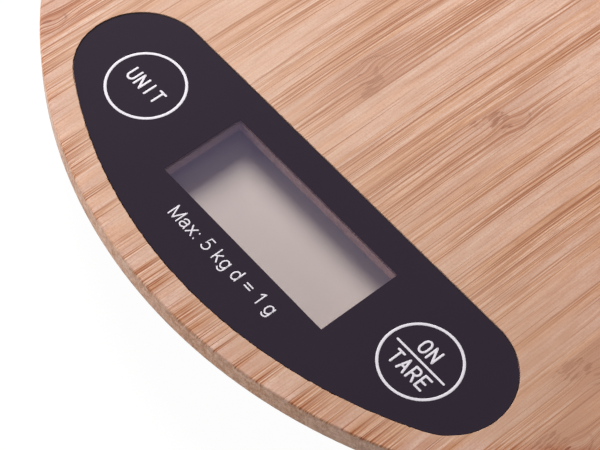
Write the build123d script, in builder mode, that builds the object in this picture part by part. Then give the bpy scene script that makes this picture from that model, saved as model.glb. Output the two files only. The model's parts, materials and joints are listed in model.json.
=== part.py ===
from build123d import *
import os
from math import cos, radians, sin, sqrt

# A round digital kitchen scale for up to 5 kg. A thin bamboo disc is the weighing platform.
# A black control film with a display window and two keys is let into the disc near its front
# edge, and the display, the circuit board and the keys hang under the disc on a plastic
# carrier. A steel plate under the disc is bolted to one end of an aluminium load cell, whose
# other end is bolted to a plastic base tray on four rubber feet. The coin cell lies in a
# round compartment of the tray, behind a door that a coin turns.
#
# Frame: millimetres, Z up, origin on the standing surface under the platform's centre.
# -Y is the front, where the control film is, and +X is to the user's right.

# ---------------------------------------------------------------- driving dimensions
overall_height = 18.0

# The bamboo disc.
platform_diameter = 200.0
platform_thickness = 5.0
platform_top_edge = 0.5
platform_bottom_edge = 0.8

# The control film: a segment of a circle with rounded corners, on a thin sheet of adhesive.
panel_margin = 5.6
panel_depth = 36.0
panel_corner = 12.5
film_thickness = 0.35
adhesive_thickness = 0.15
film_recess = 0.2
film_gap = 0.15
adhesive_inset = 0.3

# The clear window in the film.
window_width = 42.6
window_height = 17.4
window_shift = 0.6
window_inset = 14.9
window_ledge = 0.1

# The display: two glasses with a polarizer in front and a reflector behind.
display_depth = 3.0
display_gap = 0.1
glass_thickness = 1.1
glass_side_margin = 2.2
glass_front_margin = 1.5
glass_back_margin = 4.6
contact_ledge = 3.0
polarizer_thickness = 0.2
polarizer_margin = 0.8
reflector_thickness = 0.2
glass_fit = 0.15
zebra_width = 2.0
zebra_side_margin = 2.5
zebra_fit = 0.2

# The keys: a pad in the film, a cap under it and a push switch on the circuit board.
key_spread = 37.2
key_inset = 14.65
pad_diameter = 14.6
pad_fit = 0.08
key_hole_margin = 0.5
cap_fit = 0.3
cap_thickness = 1.2
cap_skirt_height = 1.5
cap_skirt_wall = 1.0
cap_stem_diameter = 3.6
key_travel = 0.25
switch_side = 6.0
switch_height = 3.5
plunger_diameter = 3.4
plunger_rise = 0.8
plunger_length = 2.3
plunger_fit = 0.05
plunger_room = 0.25
terminal_width = 0.7
terminal_length = 1.1
terminal_thickness = 0.3
terminal_pitch = 4.5
switch_hole_diameter = 12.4

# The carrier and the circuit board under the disc.
carrier_thickness = 2.8
carrier_clearance = 2.2
carrier_border = 2.0
carrier_corner = 12.0
frame_wall = 1.5
frame_fit = 0.2
board_thickness = 1.2
board_inset = 1.5
board_screw_front_gap = 2.65
board_screw_front_inset = 25.6
board_screw_back_gap = 4.75
board_screw_back_inset = 5.0
board_screw_corner_x = 5.9
board_screw_corner_y = 4.0
board_screw_diameter = 2.2
board_screw_grip = 3.4
board_screw_head = 4.2
board_screw_head_height = 1.3
screw_fit = 0.02
screw_clearance = 0.15
blob_diameter = 9.0
blob_height = 1.3
blob_x = -11.0
blob_back = 15.0
chip_length = 1.6
chip_width = 0.8
chip_height = 0.6
chip_columns = 6
chip_rows = 2
chip_column_pitch = 4.0
chip_row_pitch = 3.2
chip_x = 14.0
chip_back = 13.0

# The steel plate under the disc.
plate_length = 110.0
plate_width = 64.0
plate_thickness = 1.4
plate_corner = 6.0
plate_slot_length = 40.0
plate_slot_width = 9.0
plate_slot_y = 17.0
plate_screw_margin = 6.5
plate_screw_diameter = 3.0
plate_screw_grip = 3.6
plate_screw_head = 6.0
plate_screw_head_height = 1.5

# The load cell: a bar with two joined holes across it, which lets its free end move down.
cell_length = 50.0
cell_width = 12.0
cell_height = 6.0
cell_bore = 4.4
cell_bore_spacing = 10.0
cell_slot = 1.2
spacer_thickness = 1.0
spacer_length = 14.0
bolt_diameter = 3.0
bolt_fit = 0.03
bolt_clearance = 0.2
bolt_head = 5.5
bolt_head_height = 1.5
bolt_head_clearance = 0.4
bolt_pitch = 7.0
bolt_end_distance = 4.0
fixed_bolt_grip = 5.0
free_bolt_grip = 1.2
gauge_length = 5.0
gauge_width = 4.0
gauge_thickness = 0.15
sealant_length = 18.0
sealant_width = 9.0
sealant_thickness = 0.45

# The base tray.
platform_overhang = 5.0
platform_gap = 1.0
tray_wall = 1.8
tray_floor_radius = 84.0
tray_knee_height = 5.6
tray_floor_rounding = 4.0
tray_knee_rounding = 3.0
tray_rim_rounding = 0.4
bolt_cover = 0.1
rail_height = 2.0
rail_thickness = 1.4
rail_length = 14.0
rail_gap = 0.2
rib_height = 2.0
rib_thickness = 1.4
rib_inner_radius = 52.0
rib_angles = (0.0, 22.5, 67.5, 112.5, 157.5, 180.0, 202.5, 337.5)
stop_diameter = 8.0
stop_margin_x = 20.0
stop_margin_y = 5.0
stop_gap = 0.6
label_length = 56.0
label_width = 24.0
label_depth = 0.3
label_corner = 2.0
label_y = -38.0

# The rubber feet.
foot_reach = 1.6
foot_diameter = 14.0
foot_seat_depth = 0.9
foot_fit = 0.1
foot_circle_radius = 70.0
foot_chamfer = 0.5
foot_dimple_diameter = 6.0
foot_dimple_depth = 0.4
foot_boss_border = 1.5
foot_boss_height = 1.0

# The coin cell, its compartment and its door.
coin_y = 52.0
coin_diameter = 20.0
coin_thickness = 3.2
coin_cap_diameter = 17.8
coin_cap_height = 0.5
coin_edge = 0.3
coin_fit = 0.3
coin_gap = 0.1
door_flange_diameter = 27.2
door_flange_thickness = 1.0
door_flange_fit = 0.15
door_core_diameter = 22.0
door_fit = 0.1
door_lug_diameter = 25.2
door_lug_thickness = 1.0
door_lug_width = 5.4
door_lug_count = 3
door_lug_fit = 0.3
door_turn = 45.0
door_slot_length = 16.0
door_slot_width = 2.2
door_slot_depth = 1.4
compartment_wall = 1.5
compartment_roof = 1.2
contact_thickness = 0.3
contact_width = 4.0
contact_rise = 1.4
contact_fit = 0.05
leaf_room = 1.0
leaf_pad = 4.0
leaf_slope = 3.5
leaf_tail_offset = 8.6

# The wires inside.
wire_diameter = 0.9
wire_floor_gap = 0.1
cell_lead_pitch = 1.2
lead_joint_inset = 4.15
battery_lead_x = -20.0
battery_lead_pitch = 2.4
lead_post_gap = 3.5
bend_share = 0.45

# ---------------------------------------------------------------- heights and places
platform_radius = platform_diameter / 2
platform_top = overall_height
platform_underside = platform_top - platform_thickness
panel_radius = platform_radius - panel_margin
panel_back = panel_depth - panel_radius
film_top = platform_top - film_recess
film_underside = film_top - film_thickness
pocket_floor = film_underside - adhesive_thickness
window_y = panel_back - window_inset
key_y = panel_back - key_inset
key_places = {"unit": (-key_spread, key_y), "tare": (key_spread, key_y)}

display_roof = platform_top - display_depth
polarizer_top = display_roof - display_gap
front_glass_top = polarizer_top - polarizer_thickness
rear_glass_top = front_glass_top - glass_thickness
reflector_top = rear_glass_top - glass_thickness
display_bottom = reflector_top - reflector_thickness
glass_width = window_width + 2 * glass_side_margin
glass_front_y = window_y - window_height / 2 - glass_front_margin
glass_back_y = window_y + window_height / 2 + glass_back_margin
glass_length = glass_back_y - glass_front_y
rear_glass_length = glass_length - contact_ledge
glass_y = (glass_back_y + glass_front_y) / 2
zebra_y = glass_back_y - contact_ledge / 2
zebra_length = glass_width - 2 * zebra_side_margin
frame_width = glass_width + 2 * (glass_fit + frame_wall)
frame_length = glass_length + 2 * (glass_fit + frame_wall)

board_top = platform_underside - carrier_thickness
board_underside = board_top - board_thickness
switch_top = board_top + switch_height
plunger_top = switch_top + plunger_rise
plunger_bottom = plunger_top - plunger_length
pad_radius = pad_diameter / 2
key_hole_radius = pad_radius + key_hole_margin
cap_radius = key_hole_radius - cap_fit
cap_underside = film_underside - cap_thickness

tray_radius = platform_radius - platform_overhang
tray_underside = foot_reach
tray_floor = tray_underside + tray_wall
tray_rim = platform_underside - platform_gap
tray_knee = tray_underside + tray_knee_height
carrier_radius = tray_radius - tray_wall - carrier_clearance
carrier_back = glass_y + frame_length / 2 + carrier_border
board_radius = carrier_radius - board_inset
board_back = carrier_back - board_inset
board_corner = carrier_corner - board_inset
corner_y = board_back - board_corner
corner_x = sqrt((board_radius - board_corner) ** 2 - corner_y**2)
frame_side_x = window_shift + frame_width / 2
board_screw_row = (
    (frame_side_x + board_screw_back_gap, carrier_back - board_screw_back_inset),
    (frame_side_x + board_screw_front_gap, carrier_back - board_screw_front_inset),
    (corner_x + board_screw_corner_x, corner_y + board_screw_corner_y),
)
board_screw_places = [(side * x, y) for side in (-1, 1) for x, y in board_screw_row]

plate_underside = platform_underside - plate_thickness
plate_screw_x = plate_length / 2 - plate_screw_margin
plate_screw_y = plate_width / 2 - plate_screw_margin
cell_top = plate_underside - spacer_thickness
cell_underside = cell_top - cell_height
cell_end_x = cell_length / 2 - bolt_end_distance - bolt_pitch / 2
fixed_bolt_places = [(-cell_end_x - bolt_pitch / 2, 0), (-cell_end_x + bolt_pitch / 2, 0)]
free_bolt_places = [(cell_end_x - bolt_pitch / 2, 0), (cell_end_x + bolt_pitch / 2, 0)]
bolt_radius = bolt_diameter / 2
bolt_head_hole_radius = bolt_head / 2 + bolt_head_clearance
fixed_bolt_seat = tray_underside + bolt_head_height + bolt_cover
stop_x = plate_length / 2 - stop_margin_x
stop_y = plate_width / 2 - stop_margin_y

foot_offset = foot_circle_radius * cos(radians(45))
foot_places = {
    "foot_front_left": (-foot_offset, -foot_offset),
    "foot_front_right": (foot_offset, -foot_offset),
    "foot_rear_left": (-foot_offset, foot_offset),
    "foot_rear_right": (foot_offset, foot_offset),
}

door_centre = Plane((0, coin_y, 0))
door_flange_top = tray_underside + door_flange_thickness
door_lug_bottom = tray_floor + door_fit
door_top = door_lug_bottom + door_lug_thickness
lug_room_top = door_top + door_fit
coin_underside = door_top + coin_gap
coin_top = coin_underside + coin_thickness
coin_radius = coin_diameter / 2
coin_pocket_radius = coin_radius + coin_fit
compartment_ceiling = coin_top + leaf_room
compartment_top = compartment_ceiling + compartment_roof
compartment_radius = door_lug_diameter / 2 + door_fit + compartment_wall
leaf_tail_y = coin_y - leaf_tail_offset
contact_top = compartment_top + contact_rise
contact_solder = compartment_top + contact_rise / 2
side_contact_x = -coin_radius - contact_fit - contact_thickness / 2

wire_radius = wire_diameter / 2
wire_low = tray_floor + wire_floor_gap + wire_radius
lead_joint_y = board_back - lead_joint_inset
post_lane_x = -(stop_x - stop_diameter / 2 - lead_post_gap)


# ---------------------------------------------------------------- helpers
def segment_outline(radius, back, corner):
    """A segment of a circle in front of the line y = back, with its two corners rounded."""
    with BuildSketch() as outline:
        Circle(radius)
        with Locations((0, back)):
            Rectangle(2 * radius, 2 * radius, align=(Align.CENTER, Align.MAX), mode=Mode.INTERSECT)
        fillet(outline.vertices(), corner)
    return outline.sketch


def column(plane, places, radius, height, mode=Mode.ADD):
    """Round bosses, or with Mode.SUBTRACT round holes, that stand on a plane."""
    with BuildSketch(plane) as outline:
        with Locations(*places):
            Circle(radius)
    extrude(outline.sketch, amount=height, mode=mode)


def slab(plane, centre, length, width, height, mode=Mode.ADD):
    """A rectangular block, or with Mode.SUBTRACT a pocket, that stands on a plane."""
    with BuildSketch(plane) as outline:
        with Locations(centre):
            Rectangle(length, width)
    extrude(outline.sketch, amount=height, mode=mode)


def pan_screws(places, seat, length, diameter, head, head_height):
    """Upright screws whose pan heads hang under the seat, with a cross recess in each head."""
    with BuildPart() as screws:
        column(Plane.XY.offset(seat), places, diameter / 2, length)
        chamfer(screws.faces().sort_by(Axis.Z)[-len(places):].edges(), diameter / 8)
        column(Plane.XY.offset(seat), places, head / 2, -head_height)
        fillet(screws.faces().sort_by(Axis.Z)[:len(places)].edges(), head_height / 3)
        with BuildSketch(Plane.XY.offset(seat - head_height)):
            with Locations(*places):
                Rectangle(0.55 * head, 0.14 * head)
                Rectangle(0.14 * head, 0.55 * head)
        extrude(amount=0.5 * head_height, mode=Mode.SUBTRACT)
    return screws


def wire(points):
    """A round wire along straight runs joined by arcs as large as the shorter run allows."""
    corners = [Vector(*point) for point in points]
    radii = []
    for before, here, after in zip(corners, corners[1:], corners[2:]):
        run_in, run_out = here - before, after - here
        half_turn = radians(run_in.get_angle(run_out)) / 2
        shorter = min(run_in.length, run_out.length)
        radii.append(bend_share * shorter * cos(half_turn) / sin(half_turn))
    print("wire bend radii", [round(radius, 1) for radius in radii])
    with BuildPart() as cord:
        with BuildLine() as path:
            FilletPolyline(*corners, radius=radii)
        with BuildSketch(Plane(origin=path.line @ 0, z_dir=path.line % 0)):
            Circle(wire_radius)
        sweep(path=path.line)
    return cord


def save(name, piece):
    """Labels a finished piece and writes it to its own file."""
    piece.part.label = name
    export_step(piece.part, f"parts/{name}.step")


os.makedirs("parts", exist_ok=True)


# ---------------------------------------------------------------- bamboo disc
with BuildPart() as bamboo_platform:
    column(Plane.XY.offset(platform_underside), [(0, 0)], platform_radius, platform_thickness)
    fillet(bamboo_platform.edges().group_by(Axis.Z)[-1], platform_top_edge)
    fillet(bamboo_platform.edges().group_by(Axis.Z)[0], platform_bottom_edge)
    # The shallow pocket for the control film.
    with BuildSketch(Plane.XY.offset(pocket_floor)):
        add(segment_outline(panel_radius + film_gap, panel_back + film_gap, panel_corner + film_gap))
    extrude(amount=platform_top - pocket_floor, mode=Mode.SUBTRACT)
    # The opening over the display and, below it, the pocket for the display's frame.
    slab(Plane.XY.offset(platform_underside), (window_shift, window_y),
         window_width - 2 * window_ledge, window_height - 2 * window_ledge,
         platform_thickness, Mode.SUBTRACT)
    slab(Plane.XY.offset(platform_underside), (window_shift, glass_y),
         frame_width + 2 * frame_fit, frame_length + 2 * frame_fit,
         display_roof - platform_underside, Mode.SUBTRACT)
    # A hole through the disc under each key pad.
    column(Plane.XY.offset(platform_underside), key_places.values(), key_hole_radius,
           platform_thickness, Mode.SUBTRACT)
    # Pilot holes for the screws that hold the carrier and the steel plate.
    column(Plane.XY.offset(platform_underside), board_screw_places,
           board_screw_diameter / 2 + screw_fit, board_screw_grip, Mode.SUBTRACT)
    with BuildSketch(Plane.XY.offset(platform_underside)):
        with GridLocations(2 * plate_screw_x, 2 * plate_screw_y, 2, 2):
            Circle(plate_screw_diameter / 2 + screw_fit)
    extrude(amount=plate_screw_grip, mode=Mode.SUBTRACT)
save("bamboo_platform", bamboo_platform)

# ---------------------------------------------------------------- control film
with BuildPart() as control_film:
    with BuildSketch(Plane.XY.offset(film_underside)):
        add(segment_outline(panel_radius, panel_back, panel_corner))
        with Locations((window_shift, window_y)):
            Rectangle(window_width, window_height, mode=Mode.SUBTRACT)
        with Locations(*key_places.values()):
            Circle(pad_radius + pad_fit, mode=Mode.SUBTRACT)
    extrude(amount=film_thickness)
save("control_film", control_film)

with BuildPart() as film_adhesive:
    with BuildSketch(Plane.XY.offset(pocket_floor)):
        add(segment_outline(panel_radius - adhesive_inset, panel_back - adhesive_inset,
                            panel_corner - adhesive_inset))
        with Locations((window_shift, window_y)):
            Rectangle(window_width - 2 * window_ledge, window_height - 2 * window_ledge,
                      mode=Mode.SUBTRACT)
        with Locations(*key_places.values()):
            Circle(key_hole_radius, mode=Mode.SUBTRACT)
    extrude(amount=adhesive_thickness)
save("film_adhesive", film_adhesive)

with BuildPart() as display_window:
    slab(Plane.XY.offset(film_underside), (window_shift, window_y), window_width, window_height,
         film_thickness)
save("display_window", display_window)

# ---------------------------------------------------------------- display
with BuildPart() as front_polarizer:
    slab(Plane.XY.offset(front_glass_top), (window_shift, glass_y), glass_width - 2 * polarizer_margin,
         glass_length - 2 * polarizer_margin, polarizer_thickness)
save("front_polarizer", front_polarizer)

with BuildPart() as front_glass:
    slab(Plane.XY.offset(rear_glass_top), (window_shift, glass_y), glass_width, glass_length,
         glass_thickness)
save("front_glass", front_glass)

rear_glass_y = glass_front_y + rear_glass_length / 2
with BuildPart() as rear_glass:
    slab(Plane.XY.offset(reflector_top), (window_shift, rear_glass_y), glass_width,
         rear_glass_length, glass_thickness)
save("rear_glass", rear_glass)

with BuildPart() as display_reflector:
    slab(Plane.XY.offset(display_bottom), (window_shift, rear_glass_y),
         glass_width - 2 * polarizer_margin, rear_glass_length - 2 * polarizer_margin,
         reflector_thickness)
save("display_reflector", display_reflector)

# The rubber strip that joins the glass to the circuit board.
with BuildPart() as zebra_strip:
    slab(Plane.XY.offset(board_top), (window_shift, zebra_y), zebra_length, zebra_width,
         rear_glass_top - board_top)
save("zebra_strip", zebra_strip)

# ---------------------------------------------------------------- carrier and circuit board
with BuildPart() as electronics_carrier:
    with BuildSketch(Plane.XY.offset(board_top)):
        add(segment_outline(carrier_radius, carrier_back, carrier_corner))
        with Locations(*key_places.values()):
            Circle(switch_hole_diameter / 2, mode=Mode.SUBTRACT)
        with Locations(*board_screw_places):
            Circle(board_screw_diameter / 2 + screw_clearance, mode=Mode.SUBTRACT)
    extrude(amount=carrier_thickness)
    # The frame stands up round the display into the disc.
    slab(Plane.XY.offset(board_top), (window_shift, glass_y), frame_width, frame_length,
         polarizer_top - board_top)
    slab(Plane.XY.offset(display_bottom), (window_shift, glass_y), glass_width + 2 * glass_fit,
         glass_length + 2 * glass_fit, polarizer_top - display_bottom, Mode.SUBTRACT)
    slab(Plane.XY.offset(board_top), (window_shift, zebra_y), zebra_length + 2 * zebra_fit,
         zebra_width + 2 * zebra_fit, rear_glass_top - board_top, Mode.SUBTRACT)
save("electronics_carrier", electronics_carrier)

with BuildPart() as circuit_board:
    with BuildSketch(Plane.XY.offset(board_underside)):
        add(segment_outline(board_radius, board_back, board_corner))
        with Locations(*board_screw_places):
            Circle(board_screw_diameter / 2 + screw_clearance, mode=Mode.SUBTRACT)
    extrude(amount=board_thickness)
save("circuit_board", circuit_board)

# The processor sits under a round drop of black resin.
with BuildPart() as processor_blob:
    column(Plane.XY.offset(board_underside), [(blob_x, board_back - blob_back)], blob_diameter / 2,
           -blob_height)
    fillet(processor_blob.faces().sort_by(Axis.Z)[0].edges(), 0.8 * blob_height)
save("processor_blob", processor_blob)

with BuildPart() as board_chips:
    with BuildSketch(Plane.XY.offset(board_underside)):
        with Locations((chip_x, board_back - chip_back)):
            with GridLocations(chip_column_pitch, chip_row_pitch, chip_columns, chip_rows):
                Rectangle(chip_width, chip_length)
    extrude(amount=-chip_height)
save("board_chips", board_chips)

board_screws = pan_screws(board_screw_places, board_underside,
                          board_thickness + carrier_thickness + board_screw_grip,
                          board_screw_diameter, board_screw_head, board_screw_head_height)
save("board_screws", board_screws)

# ---------------------------------------------------------------- keys
with BuildPart() as key_switches:
    with BuildSketch(Plane.XY.offset(board_top)):
        with Locations(*key_places.values()):
            Rectangle(switch_side, switch_side)
    extrude(amount=switch_height)
    chamfer(key_switches.edges().filter_by(Axis.Z), 0.5)
    column(Plane.XY.offset(plunger_bottom - key_travel - plunger_room), key_places.values(),
           plunger_diameter / 2 + plunger_fit, switch_height, Mode.SUBTRACT)
save("key_switches", key_switches)

with BuildPart() as switch_terminals:
    with BuildSketch(Plane.XY.offset(board_top)):
        with Locations(*key_places.values()):
            with GridLocations(switch_side + terminal_length, terminal_pitch, 2, 2):
                Rectangle(terminal_length, terminal_width)
    extrude(amount=terminal_thickness)
save("switch_terminals", switch_terminals)

for key, place in key_places.items():
    with BuildPart() as pad:
        column(Plane.XY.offset(film_underside), [place], pad_radius, film_thickness)
    save(f"{key}_pad", pad)

    with BuildPart() as cap:
        column(Plane.XY.offset(cap_underside), [place], cap_radius, cap_thickness)
        column(Plane.XY.offset(cap_underside), [place], cap_radius, -cap_skirt_height)
        column(Plane.XY.offset(cap_underside), [place], cap_radius - cap_skirt_wall,
               -cap_skirt_height, Mode.SUBTRACT)
        column(Plane.XY.offset(plunger_top), [place], cap_stem_diameter / 2,
               cap_underside - plunger_top)
    save(f"{key}_cap", cap)

    with BuildPart() as plunger:
        column(Plane.XY.offset(plunger_bottom), [place], plunger_diameter / 2, plunger_length)
    save(f"{key}_plunger", plunger)

# ---------------------------------------------------------------- steel plate
with BuildPart() as support_plate:
    with BuildSketch(Plane.XY.offset(plate_underside)):
        RectangleRounded(plate_length, plate_width, plate_corner)
        with GridLocations(0, 2 * plate_slot_y, 1, 2):
            SlotOverall(plate_slot_length, plate_slot_width, mode=Mode.SUBTRACT)
        with GridLocations(2 * plate_screw_x, 2 * plate_screw_y, 2, 2):
            Circle(plate_screw_diameter / 2 + screw_clearance, mode=Mode.SUBTRACT)
        with Locations(*free_bolt_places):
            Circle(bolt_radius + bolt_fit, mode=Mode.SUBTRACT)
    extrude(amount=plate_thickness)
save("support_plate", support_plate)

plate_screw_places = [(x * plate_screw_x, y * plate_screw_y) for x in (-1, 1) for y in (-1, 1)]
plate_screws = pan_screws(plate_screw_places, plate_underside, plate_thickness + plate_screw_grip,
                          plate_screw_diameter, plate_screw_head, plate_screw_head_height)
save("plate_screws", plate_screws)

# ---------------------------------------------------------------- load cell
with BuildPart() as load_cell:
    slab(Plane.XY.offset(cell_underside), (0, 0), cell_length, cell_width, cell_height)
    with BuildSketch(Plane.XZ):
        with Locations((0, cell_underside + cell_height / 2)):
            Rectangle(cell_bore_spacing, cell_slot)
            with GridLocations(cell_bore_spacing, 0, 2, 1):
                Circle(cell_bore / 2)
    extrude(amount=cell_width, both=True, mode=Mode.SUBTRACT)
    column(Plane.XY.offset(cell_underside), fixed_bolt_places, bolt_radius + bolt_fit,
           cell_height, Mode.SUBTRACT)
    column(Plane.XY.offset(cell_underside), free_bolt_places, bolt_radius + bolt_clearance,
           cell_height, Mode.SUBTRACT)
save("load_cell", load_cell)

with BuildPart() as strain_gauges:
    for face, side in ((cell_top, 1), (cell_underside, -1)):
        with BuildSketch(Plane.XY.offset(face)):
            with GridLocations(cell_bore_spacing, 0, 2, 1):
                Rectangle(gauge_length, gauge_width)
        extrude(amount=side * gauge_thickness)
save("strain_gauges", strain_gauges)

with BuildPart() as gauge_sealant:
    for face, side in ((cell_top, 1), (cell_underside, -1)):
        slab(Plane.XY.offset(face), (0, 0), sealant_length, sealant_width, side * sealant_thickness)
    add(strain_gauges.part, mode=Mode.SUBTRACT)
save("gauge_sealant", gauge_sealant)

with BuildPart() as cell_spacer:
    slab(Plane.XY.offset(cell_top), (cell_end_x, 0), spacer_length, cell_width, spacer_thickness)
    column(Plane.XY.offset(cell_top), free_bolt_places, bolt_radius + bolt_clearance,
           spacer_thickness, Mode.SUBTRACT)
save("cell_spacer", cell_spacer)

free_end_bolts = pan_screws(free_bolt_places, cell_underside,
                            cell_height + spacer_thickness + free_bolt_grip,
                            bolt_diameter, bolt_head, bolt_head_height)
save("free_end_bolts", free_end_bolts)

fixed_end_bolts = pan_screws(fixed_bolt_places, fixed_bolt_seat,
                             cell_underside - fixed_bolt_seat + fixed_bolt_grip,
                             bolt_diameter, bolt_head, bolt_head_height)
save("fixed_end_bolts", fixed_end_bolts)

# ---------------------------------------------------------------- base tray
with BuildPart() as base_tray:
    # A shallow bowl: the outline less the same outline moved inwards by the wall.
    with BuildSketch(Plane.XZ) as section:
        with BuildLine():
            Polyline(
                (-tray_floor_radius, tray_underside), (tray_floor_radius, tray_underside),
                (tray_radius, tray_knee), (tray_radius, tray_rim + tray_wall),
                (-tray_radius, tray_rim + tray_wall), (-tray_radius, tray_knee), close=True,
            )
        make_face()
        fillet(section.vertices().group_by(Axis.Y)[0], tray_floor_rounding)
        fillet([v for v in section.vertices() if abs(v.Y - tray_knee) < 1e-6], tray_knee_rounding)
        offset(amount=-tray_wall, mode=Mode.SUBTRACT)
        with Locations((0, tray_underside)):
            Rectangle(tray_radius, tray_rim - tray_underside, align=(Align.MIN, Align.MIN),
                      mode=Mode.INTERSECT)
    revolve(axis=Axis.Z)
    fillet(base_tray.edges().group_by(Axis.Z)[-1], tray_rim_rounding)

    # Ribs on the floor, rails beside the load cell and the pad that it is bolted to.
    with BuildSketch(Plane.XY.offset(tray_floor)):
        for angle in rib_angles:
            with PolarLocations(rib_inner_radius, 1, start_angle=angle):
                Rectangle(tray_floor_radius - rib_inner_radius, rib_thickness,
                          align=(Align.MIN, Align.CENTER))
    extrude(amount=rib_height)
    with BuildSketch(Plane.XY.offset(tray_floor)):
        with Locations((-cell_end_x, 0)):
            with GridLocations(0, cell_width + 2 * rail_gap + rail_thickness, 1, 2):
                Rectangle(rail_length, rail_thickness)
    extrude(amount=rail_height)
    slab(Plane.XY.offset(tray_floor), (-cell_end_x, 0), spacer_length, cell_width,
         cell_underside - tray_floor)

    # Posts that stop the plate if the scale is overloaded.
    with BuildSketch(Plane.XY.offset(tray_floor)):
        with GridLocations(2 * stop_x, 2 * stop_y, 2, 2):
            Circle(stop_diameter / 2)
    extrude(amount=plate_underside - stop_gap - tray_floor)

    # Seats for the feet.
    column(Plane.XY.offset(tray_floor), foot_places.values(),
           foot_diameter / 2 + foot_fit + foot_boss_border, foot_boss_height)
    column(Plane.XY.offset(tray_underside), foot_places.values(), foot_diameter / 2 + foot_fit,
           foot_seat_depth, Mode.SUBTRACT)

    # Holes for the load cell's bolts: sunk heads at the fixed end, open ones at the free end.
    column(Plane.XY.offset(tray_underside), fixed_bolt_places, bolt_head_hole_radius,
           fixed_bolt_seat - tray_underside, Mode.SUBTRACT)
    column(Plane.XY.offset(fixed_bolt_seat), fixed_bolt_places, bolt_radius + bolt_clearance,
           cell_underside - fixed_bolt_seat, Mode.SUBTRACT)
    column(Plane.XY.offset(tray_underside), free_bolt_places, bolt_head_hole_radius, tray_wall,
           Mode.SUBTRACT)

    # The coin cell's compartment, with room for the door's lugs below and the leaf above.
    column(door_centre.offset(tray_floor), [(0, 0)], compartment_radius,
           compartment_top - tray_floor)
    column(door_centre.offset(tray_floor), [(0, 0)], door_lug_diameter / 2 + door_fit,
           lug_room_top - tray_floor, Mode.SUBTRACT)
    column(door_centre.offset(tray_underside), [(0, 0)], door_core_diameter / 2 + door_fit,
           tray_wall, Mode.SUBTRACT)
    column(door_centre.offset(tray_underside), [(0, 0)], door_flange_diameter / 2 + door_flange_fit,
           door_flange_thickness, Mode.SUBTRACT)
    column(door_centre.offset(tray_floor), [(0, 0)], coin_pocket_radius,
           compartment_ceiling - tray_floor, Mode.SUBTRACT)
    # Notches that let the lugs in once the door is turned.
    with BuildSketch(door_centre.offset(door_flange_top)):
        with PolarLocations(0, door_lug_count, start_angle=90 - door_turn):
            Rectangle(door_lug_diameter, door_lug_width + 2 * door_lug_fit,
                      align=(Align.MIN, Align.CENTER))
        Circle(door_lug_diameter / 2 + door_fit, mode=Mode.INTERSECT)
    extrude(amount=tray_floor - door_flange_top, mode=Mode.SUBTRACT)
    # Slots for the two contacts.
    slab(Plane.XY.offset(coin_underside), (side_contact_x, coin_y),
         contact_thickness + 2 * contact_fit, contact_width + 2 * contact_fit,
         compartment_top - coin_underside, Mode.SUBTRACT)
    slab(Plane.XY.offset(compartment_ceiling), (0, leaf_tail_y), contact_width + 2 * contact_fit,
         contact_thickness + 2 * contact_fit, compartment_roof, Mode.SUBTRACT)

    # The shallow recess in the underside for a label.
    with BuildSketch(Plane.XY.offset(tray_underside)):
        with Locations((0, label_y)):
            RectangleRounded(label_length, label_width, label_corner)
    extrude(amount=label_depth, mode=Mode.SUBTRACT)
save("base_tray", base_tray)

# ---------------------------------------------------------------- feet
for name, place in foot_places.items():
    with BuildPart() as foot:
        column(Plane.XY, [place], foot_diameter / 2, foot_reach + foot_seat_depth)
        chamfer(foot.faces().sort_by(Axis.Z)[0].edges(), foot_chamfer)
        column(Plane.XY, [place], foot_dimple_diameter / 2, foot_dimple_depth, Mode.SUBTRACT)
    save(name, foot)

# ---------------------------------------------------------------- coin cell, door and contacts
with BuildPart() as coin_cell:
    column(door_centre.offset(coin_underside), [(0, 0)], coin_radius,
           coin_thickness - coin_cap_height)
    fillet(coin_cell.edges().group_by(Axis.Z)[0], coin_edge)
    column(door_centre.offset(coin_top - coin_cap_height), [(0, 0)], coin_cap_diameter / 2,
           coin_cap_height)
save("coin_cell", coin_cell)

with BuildPart() as battery_door:
    column(door_centre.offset(tray_underside), [(0, 0)], door_flange_diameter / 2,
           door_flange_thickness)
    column(door_centre.offset(door_flange_top), [(0, 0)], door_core_diameter / 2,
           door_top - door_flange_top)
    with BuildSketch(door_centre.offset(door_lug_bottom)):
        with PolarLocations(0, door_lug_count, start_angle=90):
            Rectangle(door_lug_diameter, door_lug_width, align=(Align.MIN, Align.CENTER))
        Circle(door_lug_diameter / 2, mode=Mode.INTERSECT)
    extrude(amount=door_lug_thickness)
    with BuildSketch(door_centre.offset(tray_underside)):
        SlotOverall(door_slot_length, door_slot_width)
    extrude(amount=door_slot_depth, mode=Mode.SUBTRACT)
save("battery_door", battery_door)

with BuildPart() as side_contact:
    slab(Plane.XY.offset(coin_underside + contact_thickness), (side_contact_x, coin_y),
         contact_thickness, contact_width, contact_top - coin_underside - contact_thickness)
save("side_contact", side_contact)

# The leaf goes down through the roof, along the ceiling and down onto the coin cell.
leaf_ceiling = compartment_ceiling - contact_thickness / 2
with BuildPart() as leaf_contact:
    with BuildSketch(Plane.YZ):
        with BuildLine():
            Polyline(
                (leaf_tail_y, contact_top), (leaf_tail_y, leaf_ceiling),
                (coin_y - leaf_pad / 2 - leaf_slope, leaf_ceiling),
                (coin_y - leaf_pad / 2, coin_top + contact_thickness / 2),
                (coin_y + leaf_pad / 2, coin_top + contact_thickness / 2),
            )
        trace(line_width=contact_thickness)
    extrude(amount=contact_width / 2, both=True)
save("leaf_contact", leaf_contact)

# ---------------------------------------------------------------- wires
# Each lead ends on the underside of the circuit board, where it is soldered.
def rise_to_board(x):
    """The last points of a lead: up from the tray's floor to the circuit board."""
    return [
        (x, lead_joint_y + 5.0, wire_low + 0.2), (x, lead_joint_y + 1.5, wire_low + 1.2),
        (x, lead_joint_y, wire_low + 2.9), (x, lead_joint_y, board_underside),
    ]


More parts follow.
